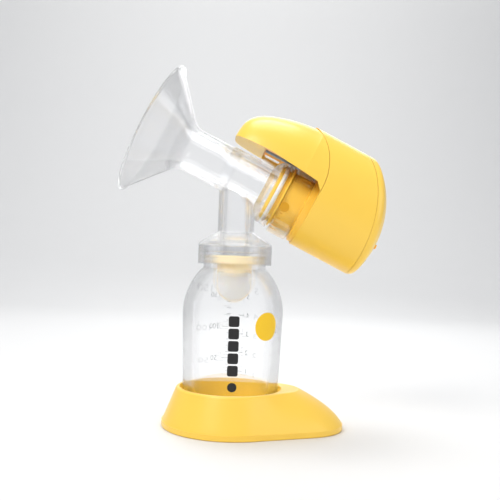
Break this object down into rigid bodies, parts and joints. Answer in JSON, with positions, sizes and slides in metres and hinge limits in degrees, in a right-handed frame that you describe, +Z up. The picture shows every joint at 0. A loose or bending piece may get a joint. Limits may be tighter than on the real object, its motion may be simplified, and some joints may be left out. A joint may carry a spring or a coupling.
{
  "type": "breast pump",
  "caption": "Electric breast pump: funnel shield, clear tee connector and a tilted oval motor unit over a feeding bottle that stands in a tailed base; the pump, valve and covers move.",
  "frame": {"origin": "where the bottle's axis meets the flat underside of the stand", "axes": "+Z up along the bottle's axis, +X towards the motor unit and the stand's tail, -X towards the breast shield, Y sideways"},
  "size_m": [0.1593, 0.082, 0.2125],
  "materials": {
    "yellow_plastic": "satin moulded plastic",
    "deep_yellow_plastic": "satin moulded plastic",
    "clear_plastic": "clear moulded polypropylene",
    "shield_plastic": "slightly milky clear polypropylene",
    "bottle_plastic": "clear blown polypropylene",
    "frosted_plastic": "frosted translucent plastic",
    "cream_plastic": "cream moulded plastic",
    "silicone": "milky silicone",
    "seal_rubber": "soft seal rubber",
    "white_plastic": "white engineering plastic",
    "grey_plastic": "grey engineering plastic",
    "gear_plastic": "natural acetal",
    "steel": "plated steel",
    "brass": "turned brass",
    "board_green": "circuit board laminate",
    "black_plastic": "black moulded plastic",
    "cell_wrap": "printed steel cell jacket",
    "nickel": "nickel-plated spring steel"
  },
  "bodies": {
    "stand": {"stand": "yellow_plastic", "stand_base_plate": "yellow_plastic"},
    "bottle": {"bottle": "bottle_plastic"},
    "connector": {"connector": "clear_plastic"},
    "breast_shield": {"breast_shield": "shield_plastic"},
    "valve_head": {"valve_head": "cream_plastic"},
    "valve_membrane": {"valve_membrane": "silicone"},
    "motor_unit": {"housing_body": "yellow_plastic", "rear_cover": "yellow_plastic", "cover_screws": "steel", "battery_tray": "deep_yellow_plastic", "battery_left": "cell_wrap", "battery_right": "cell_wrap", "front_contact": "nickel", "rear_contacts": "nickel", "pump_cylinder": "white_plastic", "nose_cap": "yellow_plastic", "nose_seal": "silicone", "motor": "steel", "gear_chassis": "grey_plastic", "chassis_screws": "steel", "idler_axle": "steel", "circuit_board": "board_green", "slide_switch": "black_plastic", "dc_inlet": "black_plastic"},
    "regulator_ring": {"regulator_ring": "frosted_plastic"},
    "battery_cover": {"battery_cover": "yellow_plastic"},
    "switch_knob": {"switch_knob": "deep_yellow_plastic"},
    "piston": {"piston": "grey_plastic", "piston_seal": "seal_rubber", "wrist_pin": "steel"},
    "connecting_rod": {"connecting_rod": "gear_plastic"},
    "crank": {"crank_gear": "gear_plastic", "crank_pin": "steel", "crank_shaft": "steel"},
    "idler_gear": {"idler_gear": "gear_plastic"},
    "rotor": {"motor_shaft": "steel", "motor_pinion": "brass"}
  },
  "joints": [
    {"name": "bottle_lift", "type": "slide", "parent": "stand", "child": "bottle", "axis": [0, 0, 1], "range_m": [0, 0.03]},
    {"name": "collar_turn", "type": "hinge", "parent": "bottle", "child": "connector", "pos_m": [0, 0, 0.1], "axis": [0, 0, 1], "range_deg": [0, 90]},
    {"name": "shield_pull", "type": "slide", "parent": "connector", "child": "breast_shield", "axis": [-0.8988, 0, 0.4384], "range_m": [0, 0.008]},
    {"name": "valve_pull", "type": "slide", "parent": "connector", "child": "valve_head", "axis": [0, 0, -1], "range_m": [0, 0.012]},
    {"name": "membrane_flap", "type": "hinge", "parent": "valve_head", "child": "valve_membrane", "pos_m": [0, -0.0063, 0.0915], "axis": [1, 0, 0], "range_deg": [-12, 0], "stiffness_Nm_per_rad": 0.002},
    {"name": "motor_pull", "type": "slide", "parent": "connector", "child": "motor_unit", "axis": [0.8988, 0, -0.4384], "range_m": [0, 0.01]},
    {"name": "vacuum_adjust", "type": "hinge", "parent": "motor_unit", "child": "regulator_ring", "pos_m": [0.0329, 0, 0.13396], "axis": [0.8988, 0, -0.4384], "range_deg": [0, 90]},
    {"name": "battery_cover_slide", "type": "slide", "parent": "motor_unit", "child": "battery_cover", "axis": [-0.8988, 0, 0.4384], "range_m": [0, 0.018]},
    {"name": "power_switch", "type": "slide", "parent": "motor_unit", "child": "switch_knob", "axis": [0, 1, 0], "range_m": [0, 0.0025]},
    {"name": "piston_stroke", "type": "slide", "parent": "motor_unit", "child": "piston", "axis": [0.8988, 0, -0.4384], "range_m": [0, 0.009]},
    {"name": "rod_swing", "type": "hinge", "parent": "piston", "child": "connecting_rod", "pos_m": [0.03874, 0, 0.13111], "axis": [0, 1, 0], "range_deg": [-10.8, 10.8]},
    {"name": "crank_turn", "type": "hinge", "parent": "motor_unit", "child": "crank", "pos_m": [0.06435, 0, 0.11861], "axis": [0, 1, 0], "continuous": true},
    {"name": "idler_turn", "type": "hinge", "parent": "motor_unit", "child": "idler_gear", "pos_m": [0.0681, 0, 0.13365], "axis": [0, 1, 0], "continuous": true},
    {"name": "rotor_turn", "type": "hinge", "parent": "motor_unit", "child": "rotor", "pos_m": [0.07137, 0, 0.14675], "axis": [0, 1, 0], "continuous": true}
  ],
  "couplings": [
    {"joint": "idler_turn", "follows": "crank_turn", "ratio": -4.1667},
    {"joint": "rotor_turn", "follows": "crank_turn", "ratio": 18.333}
  ]
}
